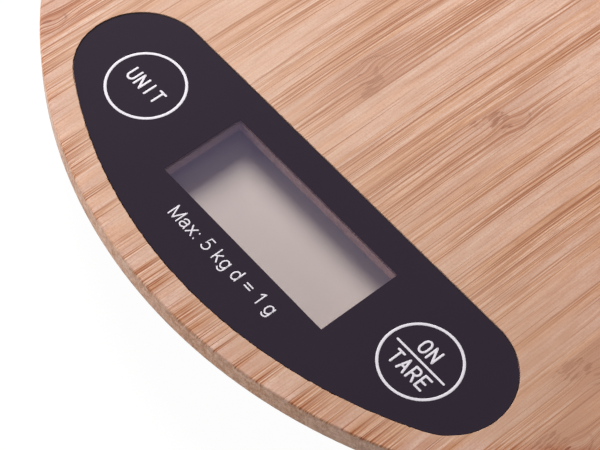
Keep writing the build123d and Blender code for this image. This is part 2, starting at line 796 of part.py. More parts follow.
battery_lead_negative = wire([
    (0, leaf_tail_y - contact_thickness / 2, contact_solder),
    (0, leaf_tail_y - 5.9, contact_solder),
    (-6.5, 32.0, 7.0), (post_lane_x + 7.5, 23.0, wire_low), (-29.0, 7.0, wire_low),
    (-30.0, -12.0, wire_low), (post_lane_x + 2.7, -33.0, wire_low),
    *rise_to_board(battery_lead_x),
])
save("battery_lead_negative", battery_lead_negative)

battery_lead_positive = wire([
    (side_contact_x - contact_thickness / 2, coin_y, contact_solder),
    (-18.5, coin_y, contact_solder), (-24.5, 45.0, 6.5), (post_lane_x, 29.0, wire_low),
    (-32.0, 8.0, wire_low), (-32.6, -11.0, wire_low), (post_lane_x + 0.3, -33.0, wire_low),
    *rise_to_board(battery_lead_x - battery_lead_pitch),
])
save("battery_lead_positive", battery_lead_positive)

with BuildPart() as load_cell_leads:
    for lead in range(4):
        x = (lead - 1.5) * cell_lead_pitch
        add(wire([
            (x, -sealant_width / 2, cell_underside - sealant_thickness),
            (x + 0.6, -19.0, wire_low), (x - 0.9, -38.0, wire_low + 0.1),
            *rise_to_board(x),
        ]).part)
save("load_cell_leads", load_cell_leads)
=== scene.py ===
# %% [markdown]
# # A bamboo kitchen scale, dressed in Blender
# The scale is a round bamboo board on a shallow plastic tray. A dark film with two keys and a
# display window is let into the board's front edge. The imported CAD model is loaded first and
# stays fixed: it says where every piece is, in metres, and Blender adds the finishes and the
# pieces that need finer shapes than the CAD solids have.

# %% Load the fixed frame
import json
from math import cos, hypot, pi, radians, sin, sqrt

import bmesh
import bpy
from mathutils import Matrix, Vector, noise


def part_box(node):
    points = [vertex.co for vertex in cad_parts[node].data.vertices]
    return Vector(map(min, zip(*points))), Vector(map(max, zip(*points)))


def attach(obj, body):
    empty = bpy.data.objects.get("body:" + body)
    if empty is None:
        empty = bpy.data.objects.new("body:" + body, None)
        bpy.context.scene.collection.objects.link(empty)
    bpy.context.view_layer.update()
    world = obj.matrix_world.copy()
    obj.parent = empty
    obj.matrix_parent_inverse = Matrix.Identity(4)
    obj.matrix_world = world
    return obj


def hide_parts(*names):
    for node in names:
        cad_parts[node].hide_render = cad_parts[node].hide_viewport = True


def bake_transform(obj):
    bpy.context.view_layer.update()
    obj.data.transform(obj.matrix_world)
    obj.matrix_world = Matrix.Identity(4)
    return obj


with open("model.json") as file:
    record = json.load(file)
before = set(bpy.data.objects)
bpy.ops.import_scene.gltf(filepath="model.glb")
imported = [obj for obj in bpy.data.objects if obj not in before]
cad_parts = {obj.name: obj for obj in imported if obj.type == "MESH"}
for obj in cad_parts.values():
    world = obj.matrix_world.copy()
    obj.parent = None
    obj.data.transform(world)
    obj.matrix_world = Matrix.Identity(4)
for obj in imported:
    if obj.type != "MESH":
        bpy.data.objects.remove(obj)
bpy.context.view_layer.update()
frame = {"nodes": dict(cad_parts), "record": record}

mm = 0.001
nodes = frame["nodes"]
for plain_colour in list(bpy.data.materials):
    bpy.data.materials.remove(plain_colour)

# %% [markdown]
# ## The camera
# The view is a close, slightly tilted look down on the front edge of the board, from the
# user's right. A long lens keeps the circles nearly free of perspective. The camera is placed
# by the direction it looks back along, then rolled a few degrees about its own axis.

# %% Camera
view_azimuth, view_elevation, view_roll = radians(45.567), radians(56.150), radians(4.737)
camera_place, focal_length = (0.159693, -0.224136, 0.343989), 134.94
back = Vector((sin(view_azimuth) * cos(view_elevation),
               -cos(view_azimuth) * cos(view_elevation), sin(view_elevation)))
level_right = (-back).cross(Vector((0, 0, 1))).normalized()
level_up = level_right.cross(-back)
camera_x = cos(view_roll) * level_right + sin(view_roll) * level_up
camera_y = -sin(view_roll) * level_right + cos(view_roll) * level_up
camera = bpy.data.objects.new("camera", bpy.data.cameras.new("camera"))
camera.data.sensor_width, camera.data.lens = 36, focal_length
camera.data.clip_start, camera.data.clip_end = 0.02, 20
turn = Matrix((camera_x, camera_y, back)).transposed().to_4x4()
camera.matrix_world = Matrix.Translation(camera_place) @ turn
bpy.context.scene.collection.objects.link(camera)
bpy.context.scene.camera = camera
bpy.context.scene.view_settings.view_transform = "Standard"
print("camera at", [round(value, 3) for value in camera.location])

# %% [markdown]
# ## Helpers for shader nodes
# A finish is a tree of shader nodes. A few small helpers keep the trees readable: *node* adds
# a node and fills its sockets by name, and *calc* and *times* add math nodes. A socket that is
# handed in as a value gets linked, any other value is typed into the socket.

# %% Node helpers
def plug(tree, socket, value):
    """Links a socket, or types a plain value into it."""
    if isinstance(value, bpy.types.NodeSocket):
        tree.links.new(value, socket)
    else:
        socket.default_value = value


def node(tree, kind, inputs=None, **settings):
    """Adds one shader node, with settings by attribute and inputs by name or number."""
    made = tree.nodes.new("ShaderNode" + kind)
    for key, value in settings.items():
        setattr(made, key, value)
    for key, value in (inputs or {}).items():
        plug(tree, made.inputs[key], value)
    return made


def calc(tree, operation, *values, clamp=False):
    """Adds a math node and returns its result."""
    made = tree.nodes.new("ShaderNodeMath")
    made.operation, made.use_clamp = operation, clamp
    for socket, value in zip(made.inputs, values):
        plug(tree, socket, value)
    return made.outputs[0]


def times(tree, product, *factors):
    """Multiplies several values together."""
    for factor in factors:
        product = calc(tree, "MULTIPLY", product, factor)
    return product


def remap(tree, value, low, high, new_low=0.0, new_high=1.0, kind="LINEAR"):
    """Stretches low..high to new_low..new_high and clamps outside."""
    made = node(tree, "MapRange", {"Value": value, "From Min": low, "From Max": high,
                                   "To Min": new_low, "To Max": new_high},
                interpolation_type=kind)
    return made.outputs["Result"]


def mix_colour(tree, factor, first, second, how="MIX"):
    """Mixes two colours and returns the result."""
    made = node(tree, "Mix", data_type="RGBA", blend_type=how)
    for socket, value in ((made.inputs[0], factor), (made.inputs[6], first),
                          (made.inputs[7], second)):
        plug(tree, socket, value)
    return made.outputs[2]


def srgb(red, green, blue):
    """A display colour of 0 to 255 a channel as the linear colour that the shader wants."""
    linear = [(v / 12.92 if v <= 0.04045 else ((v + 0.055) / 1.055) ** 2.4)
              for v in (red / 255, green / 255, blue / 255)]
    return (*linear, 1.0)

# %% [markdown]
# ## The studio
# A plain pale floor, one soft box from the far left, a weak low one in front for the board's
# edge, and an even sky light. The soft box stands close to the board, so its light falls off a
# little across it. Together the lights bring a white card to white, so that every colour
# renders as it is written. The camera sees the surroundings as plain white, and the floor
# keeps a faint part of the shadow.

# %% Sky
world = bpy.data.worlds.new("studio")
bpy.context.scene.world = world
world.use_nodes = True
sky = world.node_tree
sky.nodes.clear()
path = node(sky, "LightPath")
seen = calc(sky, "MAXIMUM", calc(sky, "MAXIMUM", path.outputs["Is Camera Ray"],
                                 path.outputs["Is Glossy Ray"]),
            path.outputs["Is Transmission Ray"])
sky_light = node(sky, "Background", {"Color": (0.98, 0.99, 1.0, 1), "Strength": 0.12})
sky_seen = node(sky, "Background", {"Color": (1, 1, 1, 1), "Strength": 1.0})
both = node(sky, "MixShader", {0: seen, 1: sky_light.outputs[0], 2: sky_seen.outputs[0]})
node(sky, "OutputWorld", {"Surface": both.outputs[0]})

# %% Soft box
def add_soft_box(name, aim, towards, distance, size, level, colour=(1, 1, 1)):
    """A round soft box; level is how bright it alone makes a white card that faces it."""
    lamp = bpy.data.lights.new(name, "AREA")
    lamp.shape, lamp.size, lamp.color = "DISK", size, colour
    lamp.energy = level * pi ** 2 * distance ** 2
    stand = bpy.data.objects.new(name, lamp)
    towards = Vector(towards).normalized()
    stand.matrix_world = (Matrix.Translation(Vector(aim) + towards * distance)
                          @ towards.to_track_quat("Z", "Y").to_matrix().to_4x4())
    bpy.context.scene.collection.objects.link(stand)
    print(name, round(lamp.energy, 2), "W at", [round(v, 2) for v in stand.location])


add_soft_box("soft_box", (0, -0.07, 0.018), (-0.724, 0.361, 0.588), 0.72, 0.38, 1.31,
             (1.0, 0.985, 0.965))
add_soft_box("low_fill", (0, 0, 0.01), (-0.62, -0.76, 0.2), 1.8, 1.2, 0.5)

# %% Floor
def new_material(name):
    """An empty node material."""
    made = bpy.data.materials.new(name)
    made.use_nodes = True
    made.node_tree.nodes.clear()
    return made, made.node_tree


floor_drop, floor_reach, white_share = 0.02 * mm, 2.5, 0.93
floor_finish, tree = new_material("pale_floor")
path = node(tree, "LightPath")
paper = node(tree, "BsdfDiffuse", {"Color": (0.93, 0.93, 0.93, 1)})
bright = node(tree, "Emission", {"Color": (1, 1, 1, 1), "Strength": 1.04})
lifted = times(tree, path.outputs["Is Camera Ray"], white_share)
card = node(tree, "MixShader", {0: lifted, 1: paper.outputs[0], 2: bright.outputs[0]})
node(tree, "OutputMaterial", {"Surface": card.outputs[0]})
sheet = bmesh.new()
bmesh.ops.create_grid(sheet, x_segments=8, y_segments=8, size=floor_reach)
floor_mesh = bpy.data.meshes.new("floor")
sheet.to_mesh(floor_mesh)
sheet.free()
floor = bpy.data.objects.new("floor", floor_mesh)
floor.data.materials.append(floor_finish)
floor.location.z = -floor_drop
bpy.context.scene.collection.objects.link(floor)
print("floor:", 2 * floor_reach, "m square")

# %% [markdown]
# ## Effects that several finishes share
# Real surfaces are never quite even. *handling* gives slow patches, where a surface has been
# wiped and touched, and tiny specks. *moulded_grain* gives the fine dimples that a spark-cut
# mould leaves on plastic. Both are node groups, built once, and each material sets its own
# scale. They put out plain values, which the material feeds to colour, roughness and bump.

# %% Group helper
def new_group(name, inputs, outputs):
    """A shader node group: inputs are (name, kind, default), outputs are (name, kind)."""
    group = bpy.data.node_groups.new(name, "ShaderNodeTree")
    for title, kind, default in inputs:
        socket = group.interface.new_socket(title, in_out="INPUT", socket_type="NodeSocket" + kind)
        if default is not None:
            socket.default_value = default
    for title, kind in outputs:
        group.interface.new_socket(title, in_out="OUTPUT", socket_type="NodeSocket" + kind)
    return group, group.nodes.new("NodeGroupInput"), group.nodes.new("NodeGroupOutput")


def use_group(tree, group, inputs):
    """Places a node group in a material."""
    made = tree.nodes.new("ShaderNodeGroup")
    made.node_tree = group
    for key, value in inputs.items():
        plug(tree, made.inputs[key], value)
    return made

# %% Handling and moulded grain
handling, given, result = new_group(
    "handling", [("Vector", "Vector", None), ("Patch Size mm", "Float", 20.0)],
    [("Patches", "Float"), ("Specks", "Float")])
per_patch = calc(handling, "DIVIDE", 1000.0, given.outputs["Patch Size mm"])
patches = node(handling, "TexNoise", {"Vector": given.outputs["Vector"], "Scale": per_patch,
                                      "Detail": 3.0, "Roughness": 0.6})
plug(handling, result.inputs["Patches"], remap(handling, patches.outputs["Fac"], 0.3, 0.7))
dust = node(handling, "TexVoronoi", {"Vector": given.outputs["Vector"], "Scale": 420.0})
plug(handling, result.inputs["Specks"],
     remap(handling, dust.outputs["Distance"], 0.05, 0.14, 1.0, 0.0))

moulded_grain, given, result = new_group(
    "moulded_grain", [("Vector", "Vector", None), ("Grain Size mm", "Float", 0.4)],
    [("Height", "Float")])
per_grain = calc(moulded_grain, "DIVIDE", 1000.0, given.outputs["Grain Size mm"])
dimples = node(moulded_grain, "TexNoise", {"Vector": given.outputs["Vector"],
                                           "Scale": per_grain, "Detail": 2.0})
cells = node(moulded_grain, "TexVoronoi", {"Vector": given.outputs["Vector"],
                                           "Scale": times(moulded_grain, per_grain, 0.8)})
plug(moulded_grain, result.inputs["Height"],
     calc(moulded_grain, "ADD", dimples.outputs["Fac"],
          times(moulded_grain, cells.outputs["Distance"], 0.5)))
print("groups:", handling.name, "and", moulded_grain.name)

# %% [markdown]
# ## A finish in one call
# Most finishes here are one Principled shader: a colour that drifts a little with handling, a
# roughness that drifts with it, and a bump. *plain_finish* makes such a material, for brushed
# metal and the green circuit board too. The bamboo and the see-through sheets are made on
# their own further down.

# %% Plain finish
def principled(tree, **sockets):
    """The Principled shader, with its constant values on its own sockets."""
    shader = tree.nodes.new("ShaderNodeBsdfPrincipled")
    for key, value in sockets.items():
        plug(tree, shader.inputs[key.replace("_", " ")], value)
    node(tree, "OutputMaterial", {"Surface": shader.outputs[0]})
    return shader


def plain_finish(name, colour, other_colour, roughness, grain=0.4, depth=0.01, patch=18.0,
                 specks=0.0, metallic=0.0, specular=0.5, drawn=None, marks=None):
    """A moulded, cast or rolled finish; grain and patch sizes and bump depth are in mm.

    drawn shrinks the grain's coordinates along an axis, which draws it out as brush marks.
    marks is (function, colour): the function turns the place into a mask for that colour."""
    made, tree = new_material(name)
    place = node(tree, "TexCoord").outputs["Object"]
    wear = use_group(tree, handling, {"Vector": place, "Patch Size mm": patch})
    grain_place = place
    if drawn:
        grain_place = node(tree, "VectorMath", {0: place, 1: drawn},
                           operation="MULTIPLY").outputs["Vector"]
    grains = use_group(tree, moulded_grain, {"Vector": grain_place, "Grain Size mm": grain})
    drift = mix_colour(tree, wear.outputs["Patches"], colour, other_colour)
    if drawn:
        drift = mix_colour(tree, remap(tree, grains.outputs["Height"], 0.4, 1.1, 0.0, 0.5), drift,
                           other_colour)
    if marks:
        drift = mix_colour(tree, marks[0](tree, place), drift, marks[1])
    dusty = times(tree, wear.outputs["Specks"], specks)
    bump = node(tree, "Bump", {"Strength": 0.6, "Distance": depth * mm,
                               "Height": grains.outputs["Height"]})
    shader = principled(tree, Metallic=metallic)
    shader.inputs["Specular IOR Level"].default_value = specular
    plug(tree, shader.inputs["Base Color"], mix_colour(tree, dusty, drift, srgb(150, 145, 140)))
    plug(tree, shader.inputs["Roughness"],
         remap(tree, wear.outputs["Patches"], 0, 1, roughness - 0.06, roughness + 0.06))
    plug(tree, shader.inputs["Normal"], bump.outputs["Normal"])
    return made


# %% [markdown]
# ## Bamboo
# The board is glued up from bamboo strips about 8 mm wide, all running front to back. Each
# strip has its own tone, and long dark fibres that crowd towards one side, as they do towards
# the skin of the cane. Now and then a strip crosses a knuckle of the cane: there the fibres
# swirl round a scar and short dark dashes appear. All of it is a pattern in space, so the same
# fibres end as dots and short streaks on the board's round edge.

# %% Knuckle group
knuckle, given, result = new_group(
    "knuckle",
    [(name, "Float", value) for name, value in
     {"X": 0.0, "Y": 0.0, "Centre X": 0.0, "Centre Y": 0.0, "Half Width": 3.9, "Length": 4.5,
      "Hand": 1.0, "Depth": 1.0}.items()],
    [(name, "Float") for name in ("Bend", "Scar", "Ring", "Shade")])
hand = given.outputs["Hand"]
across = calc(knuckle, "SUBTRACT", given.outputs["X"], given.outputs["Centre X"])
along = calc(knuckle, "SUBTRACT", given.outputs["Y"], given.outputs["Centre Y"])
side = times(knuckle, calc(knuckle, "DIVIDE", across, given.outputs["Half Width"]), hand)
reach = calc(knuckle, "DIVIDE", along, given.outputs["Length"])
inside = remap(knuckle, calc(knuckle, "ABSOLUTE", side), 0.9, 1.0, 1.0, 0.0)

# The fibres part round an eye, a little to one side of the strip's middle.
eye_side = calc(knuckle, "ADD", side, 0.25)
eye = calc(knuckle, "ADD", times(knuckle, eye_side, eye_side, 3.5),
           times(knuckle, reach, reach, 1.6))
push = times(knuckle, calc(knuckle, "EXPONENT", times(knuckle, eye, -1.0)), inside)
spread = times(knuckle, eye_side, push, -2.2)
drift = times(knuckle, reach, push, 0.7)
plug(knuckle, result.inputs["Bend"], times(knuckle, calc(knuckle, "ADD", spread, drift), hand))

# The scar lies slanted, in front of the eye and to its other side.
slant = calc(knuckle, "ADD", reach, times(knuckle, side, 0.35))
in_front = remap(knuckle, slant, -1.7, -0.5, 0.0, 1.0, "SMOOTHSTEP")
behind = remap(knuckle, slant, -0.1, 0.35, 1.0, 0.0, "SMOOTHSTEP")
one_side = remap(knuckle, side, -0.5, 0.4, 0.2, 1.0)
plug(knuckle, result.inputs["Scar"], times(knuckle, in_front, behind, inside, one_side))

# The ring is a thin dark arc round the eye, on the side away from the scar.
off_ring = calc(knuckle, "ABSOLUTE", calc(knuckle, "SUBTRACT", calc(knuckle, "SQRT", eye), 0.95))
ring = remap(knuckle, off_ring, 0.02, 0.12, 1.0, 0.0, "SMOOTHSTEP")
ring_side = remap(knuckle, calc(knuckle, "SUBTRACT", times(knuckle, reach, 0.25), side),
                  0.25, 0.7)
plug(knuckle, result.inputs["Ring"], times(knuckle, ring, ring_side, inside))

# The strip is a little darker for some way before and after the knuckle.
wide = calc(knuckle, "EXPONENT", times(knuckle, reach, reach, -0.25))
plug(knuckle, result.inputs["Shade"], times(knuckle, given.outputs["Depth"], inside, wide))

# %% Where the knuckles are
strip_width, strip_start = 7.8, -1.9


def strip_of(place):
    """The middle of the strip that a place across the board falls in."""
    return strip_start + (round((place - strip_start) / strip_width - 0.5) + 0.5) * strip_width


# Each knuckle: its place across and along the board in millimetres, its hand and its depth.
knuckle_places = [(-13.5, -38, 1, 0.8), (7.5, -26, -1, 0.4), (54, -51, -1, 1.0),
                  (62, -64, -1, 0.8), (-52, 22, 1, 0.7), (-29, 61, -1, 0.4), (23, 44, 1, 0.8),
                  (39, -8, -1, 0.6), (-83, -14, 1, 0.6), (77, 30, 1, 0.8), (-6, 71, -1, 0.5),
                  (-60, -78, -1, 0.4), (30, 93, 1, 0.6)]
bamboo, tree = new_material("bamboo")
place = node(tree, "TexCoord").outputs["Object"]
axes = node(tree, "SeparateXYZ", {0: place})
x_mm, y_mm, z_mm = (calc(tree, "DIVIDE", axes.outputs[axis], mm) for axis in range(3))
spots = [use_group(tree, knuckle, {"X": x_mm, "Y": y_mm, "Centre X": strip_of(across_mm),
                                   "Centre Y": float(along_mm), "Hand": float(hand),
                                   "Depth": depth})
         for across_mm, along_mm, hand, depth in knuckle_places]


def total(values, operation):
    """Folds many values into one."""
    result = values[0]
    for value in values[1:]:
        result = calc(tree, operation, result, value)
    return result


bend = total([spot.outputs["Bend"] for spot in spots], "ADD")
scar = total([spot.outputs["Scar"] for spot in spots], "MAXIMUM")
ring = total([spot.outputs["Ring"] for spot in spots], "MAXIMUM")
shade = total([spot.outputs["Shade"] for spot in spots], "MAXIMUM")
print(len(knuckle_places), "knuckles")

# %% [markdown]
# Each strip gets a number, and a white noise of that number gives it its own luck: its tone,
# the side its fibres crowd to, and how sparse they are. Noise drawn out along the grain makes
# the streaks; adding the strip's number to the noise's fourth coordinate makes the streaks
# stop at each seam.

# %% Strips and streaks
wander = node(tree, "TexNoise", {"Vector": place, "Scale": 16.0, "Detail": 1.0}).outputs["Fac"]
bent_x = calc(tree, "ADD", calc(tree, "ADD", x_mm, bend),
              times(tree, calc(tree, "SUBTRACT", wander, 0.5), 2.4))
strips = calc(tree, "DIVIDE", calc(tree, "SUBTRACT", x_mm, strip_start), strip_width)
strip, within = calc(tree, "FLOOR", strips), calc(tree, "FRACT", strips)
luck = node(tree, "SeparateColor", {0: node(tree, "TexWhiteNoise", {"W": strip},
                                            noise_dimensions="1D").outputs["Color"]})
tone, flip, sparse = (luck.outputs[axis] for axis in range(3))
skin = calc(tree, "ABSOLUTE", calc(tree, "SUBTRACT", within, calc(tree, "GREATER_THAN", flip, 0.5)))


def streaks(across_per_mm, along_per_mm, through_per_mm, detail, roughness=0.5, seed=0.0):
    """Noise drawn out along the grain, different in each strip."""
    spot = node(tree, "CombineXYZ", {0: times(tree, bent_x, across_per_mm),
                                     1: times(tree, y_mm, along_per_mm),
                                     2: times(tree, z_mm, through_per_mm)})
    made = node(tree, "TexNoise", {"Vector": spot.outputs[0], "Scale": 1.0, "Detail": detail,
                                   "W": calc(tree, "MULTIPLY_ADD", strip, 7.3, seed),
                                   "Roughness": roughness}, noise_dimensions="4D")
    return made.outputs["Fac"]


bands = streaks(0.45, 0.008, 0.12, 1.0)
slow = streaks(0.12, 0.014, 0.05, 1.0, seed=3.0)
fine = streaks(2.7, 0.045, 0.8, 1.5, seed=5.0)
hair = streaks(4.4, 0.2, 1.6, 1.0, seed=9.0)
mottle = streaks(0.9, 0.16, 0.5, 2.0, seed=7.0)

# %% [markdown]
# The long dark fibres are bundles that run almost, but not quite, along the board, so each
# shows as a long thin dash with tapered ends. A Voronoi texture drawn out along the grain
# makes such dashes: near each of its points lies one. How near counts as inside sets both
# their width and how many there are, so one mask gathers them in groups and towards the skin
# side of each strip.

# %% Long fibres
def fibres(across_per_mm, along_per_mm, through_per_mm, reach, seed):
    """Dashes along the grain, each with its own strength, and a soft glow round them."""
    start = calc(tree, "MULTIPLY_ADD", strip, 5.3, seed)
    spot = node(tree, "CombineXYZ", {
        0: times(tree, bent_x, across_per_mm),
        1: calc(tree, "MULTIPLY_ADD", y_mm, along_per_mm, start),
        2: times(tree, z_mm, through_per_mm)})
    cells = node(tree, "TexVoronoi", {"Vector": spot.outputs[0], "Scale": 1.0, "Randomness": 0.9})
    ratio = calc(tree, "DIVIDE", cells.outputs["Distance"], reach)
    own = node(tree, "SeparateColor", {0: cells.outputs["Color"]}).outputs[0]
    dash = remap(tree, ratio, 0.8, 1.05, 1.0, 0.0, "SMOOTHSTEP")
    glow = remap(tree, ratio, 0.9, 2.0, 1.0, 0.0, "SMOOTHSTEP")
    return times(tree, dash, remap(tree, own, 0, 1, 0.45, 1.0)), glow


group = streaks(0.32, 0.009, 0.12, 1.0, seed=2.0)
crowding = calc(tree, "ADD", times(tree, skin, 0.22), group)
crowding = calc(tree, "SUBTRACT", crowding, times(tree, sparse, 0.08))
crowding = calc(tree, "ADD", crowding, times(tree, shade, 0.1))
crowding = calc(tree, "ADD", crowding, remap(tree, strip, 2.0, 7.0, 0.0, 0.06))
crowded = remap(tree, crowding, 0.52, 0.64, kind="SMOOTHSTEP")
main_dash, main_glow = fibres(2.6, 0.014, 0.8, remap(tree, crowded, 0, 1, 0.19, 0.42), 0.0)
thin_dash, thin_halo_highlight = fibres(3.6, 0.03, 1.0, remap(tree, crowded, 0, 1, 0.2, 0.4), 40.0)
lines = calc(tree, "MAXIMUM", main_dash, times(tree, thin_dash, 0.6))
busy = remap(tree, crowded, 0, 1, 0.3, 1.0)
print("streaks and fibres:", len(tree.nodes), "nodes")

# %% [markdown]
# The colour is laid on like glazes, from the widest patches to the finest lines. Each tint is
# a mask, a strength, and the colour that it draws the wood towards.

# %% Colour of the wood
def tint(factor, strength, colour):
    """Mixes a colour into the wood by a mask."""
    global ground
    ground = mix_colour(tree, times(tree, factor, strength), ground, colour)


ground = mix_colour(tree, tone, srgb(228, 186, 164), srgb(218, 173, 150))
tint(remap(tree, slow, 0.4, 0.64), 0.5, srgb(190, 140, 116))
tint(remap(tree, strip, 3.0, 9.0), 0.9, srgb(184, 124, 98))
tint(remap(tree, bands, 0.5, 0.62), 0.4, srgb(220, 160, 112))
tint(remap(tree, bands, 0.46, 0.34), 0.35, srgb(228, 194, 176))
tint(remap(tree, mottle, 0.5, 0.66), 0.3, srgb(190, 138, 112))
tint(remap(tree, mottle, 0.48, 0.34), 0.3, srgb(234, 202, 184))
# Partly paler tissue beside the thin fibres, partly a painted highlight that stands in for their
# relief.
tint(times(tree, thin_halo_highlight, crowded), 0.35, srgb(232, 196, 172))
tint(times(tree, main_glow, busy), 0.5, srgb(220, 154, 98))
tint(times(tree, remap(tree, fine, 0.51, 0.58), busy), 0.5, srgb(182, 116, 74))
tint(times(tree, remap(tree, fine, 0.47, 0.40), busy), 0.5, srgb(243, 212, 194))
tint(times(tree, remap(tree, hair, 0.52, 0.6), busy), 0.5, srgb(172, 106, 66))
tint(thin_dash, 0.9, srgb(166, 96, 50))
tint(main_dash, 1.0, srgb(150, 76, 30))
seam = remap(tree, calc(tree, "ABSOLUTE", calc(tree, "SUBTRACT", within, 0.5)), 0.485, 0.499)
tint(seam, 0.35, srgb(154, 100, 74))
tint(shade, 0.8, srgb(174, 116, 90))
broken = remap(tree, streaks(1.1, 0.3, 0.5, 1.0, seed=8.0), 0.38, 0.56, 0.3, 1.0)
scarred = times(tree, scar, broken)
scars = fibres(2.5, 0.34, 0.4, remap(tree, scarred, 0.05, 0.6, 0.01, 0.62), 90.0)[0]
tint(scarred, 0.3, srgb(182, 116, 80))
tint(scars, 0.95, srgb(136, 66, 32))
tint(times(tree, ring, broken), 0.7, srgb(132, 70, 42))
pores = node(tree, "TexNoise", {"Vector": place, "Scale": 2600.0, "Detail": 1.0}).outputs["Fac"]
tint(remap(tree, pores, 0.46, 0.7), 0.28, srgb(172, 114, 86))

# %% [markdown]
# The board's round edge is cut across the fibres in front and behind, and along them at the
# sides. Where it is cut across, the fibre bundles show as dots on a duller ground. The flanks
# get a painted highlight, the pocket walls get painted shade, and the torn lip shows fresh wood.

# %% Cut edge, gloss and relief
face = node(tree, "SeparateXYZ", {0: node(tree, "TexCoord").outputs["Normal"]})
upright = remap(tree, calc(tree, "ABSOLUTE", face.outputs[2]), 0.25, 0.8, 1.0, 0.0)
cut = times(tree, upright, remap(tree, calc(tree, "ABSOLUTE", face.outputs[1]), 0.15, 0.6))
bundle_place = node(tree, "CombineXYZ", {0: times(tree, x_mm, 2.6), 1: times(tree, y_mm, 0.4),
                                         2: times(tree, z_mm, 2.2)})
bundles = node(tree, "TexVoronoi", {"Vector": bundle_place.outputs[0], "Scale": 1.0})
dots = times(tree, remap(tree, bundles.outputs["Distance"], 0.25, 0.45, 1.0, 0.0), cut)
mottled = node(tree, "TexNoise", {"Vector": place, "Scale": 900.0, "Detail": 2.0}).outputs["Fac"]
tint(cut, 0.5, srgb(208, 168, 144))
tint(times(tree, remap(tree, mottled, 0.5, 0.64), cut), 0.4, srgb(230, 198, 178))
tint(times(tree, remap(tree, mottled, 0.5, 0.36), cut), 0.4, srgb(156, 118, 94))
tint(dots, 0.5, srgb(146, 108, 84))
# Painted highlight: faces that look left or right are made paler and greyer, as if lit from the
# side.
flank_highlight = times(tree, upright, remap(tree, calc(tree, "ABSOLUTE", face.outputs[0]), 0.25, 0.65))
tint(flank_highlight, 0.45, srgb(232, 214, 204))
# Painted shade: the upright walls inside the rim, round the window and pockets, are darkened as if
# in shadow.
from_middle = calc(tree, "SQRT", calc(tree, "ADD", times(tree, x_mm, x_mm),
                                      times(tree, y_mm, y_mm)))
inside_the_rim = calc(tree, "LESS_THAN", from_middle, 96.0)
pocket_wall_shade = times(tree, upright, inside_the_rim)
tint(pocket_wall_shade, 0.6, srgb(112, 96, 92))
fresh = node(tree, "Attribute", attribute_name="fresh_cut").outputs["Fac"]
tint(fresh, 0.45, srgb(206, 166, 138))
wear = use_group(tree, handling, {"Vector": place, "Patch Size mm": 35.0})
relief = calc(tree, "ADD", times(tree, lines, -1.0), times(tree, fine, 0.8))
bump = node(tree, "Bump", {"Strength": 0.5, "Distance": 0.03 * mm, "Height": relief})
wood = principled(tree)
wood.inputs["Specular IOR Level"].default_value = 0.35
plug(tree, wood.inputs["Base Color"], ground)
rub = remap(tree, wear.outputs["Patches"], 0, 1, 0.5, 0.62)
plug(tree, wood.inputs["Roughness"], calc(tree, "ADD", rub, times(tree, lines, 0.1)))
plug(tree, wood.inputs["Normal"], bump.outputs["Normal"])
print("bamboo:", len(tree.nodes), "nodes")

# %% [markdown]
# ## Pieces from a bmesh
# A piece is drawn in millimetres in a bmesh, scaled to metres at the end, and given to an
# object at the origin. Edges that turn sharply are marked sharp and the rest shade smoothly;
# a Weighted Normal modifier keeps large flat faces looking flat beside small roundings.

# %% Piece helpers
def finish_piece(shape, name, material, body, stands_for=(), crease=35):
    """Turns a bmesh in millimetres into a scene piece that rides on a CAD body.

    A piece given a (start, end) span in place of a body is only set in world place; the span is not
    used."""
    bmesh.ops.scale(shape, vec=(mm, mm, mm), verts=shape.verts)
    for face in shape.faces:
        face.smooth = True
    for edge in shape.edges:
        edge.smooth = len(edge.link_faces) == 2 and edge.calc_face_angle() < radians(crease)
    mesh = bpy.data.meshes.new(name)
    shape.to_mesh(mesh)
    shape.free()
    mesh.materials.append(material)
    piece = bpy.data.objects.new(name, mesh)
    bpy.context.scene.collection.objects.link(piece)
    weighted = piece.modifiers.new("flat_faces_stay_flat", "WEIGHTED_NORMAL")
    weighted.keep_sharp = True
    if isinstance(body, str):
        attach(piece, body)
    else:
        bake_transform(piece)
    if stands_for:
        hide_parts(*stands_for)
    print(name, "-", len(mesh.polygons), "faces")
    return piece


def disc(radius, low, high, centre=(0, 0), segments=256):
    """A flat round block; of its centre only x and y count."""
    shape = bmesh.new()
    bmesh.ops.create_circle(shape, cap_ends=True, segments=segments, radius=radius,
                            matrix=Matrix.Translation((*centre[:2], low)))
    raise_faces(shape, high - low)
    return shape


def raise_faces(shape, height):
    """Extrudes a flat shape straight up into a closed block."""
    top = bmesh.ops.extrude_face_region(shape, geom=list(shape.faces), use_keep_orig=True)
    risen = [part for part in top["geom"] if isinstance(part, bmesh.types.BMVert)]
    bmesh.ops.translate(shape, vec=(0, 0, height), verts=risen)
    bmesh.ops.recalc_face_normals(shape, faces=shape.faces)


def block(centre, length, width, low, high):
    """A flat rectangular block; of its centre only x and y count."""
    shape = bmesh.new()
    bmesh.ops.create_grid(shape, x_segments=1, y_segments=1, size=0.5,
                          matrix=Matrix.Translation((*centre[:2], low))
                          @ Matrix.Diagonal((length, width, 1, 1)))
    raise_faces(shape, high - low)
    return shape


def flat_edges(shape, level):
    """The edges of a closed shape that lie flat at one height."""
    return [edge for edge in shape.edges if all(abs(v.co.z - level) < 1e-4 for v in edge.verts)]


def round_edges(shape, edges, offset, segments):
    """Bevels edges; one segment makes a chamfer, and more make a rounding."""
    return bmesh.ops.bevel(shape, geom=edges, offset=offset, segments=segments, profile=0.5,
                           affect="EDGES", material=-1)


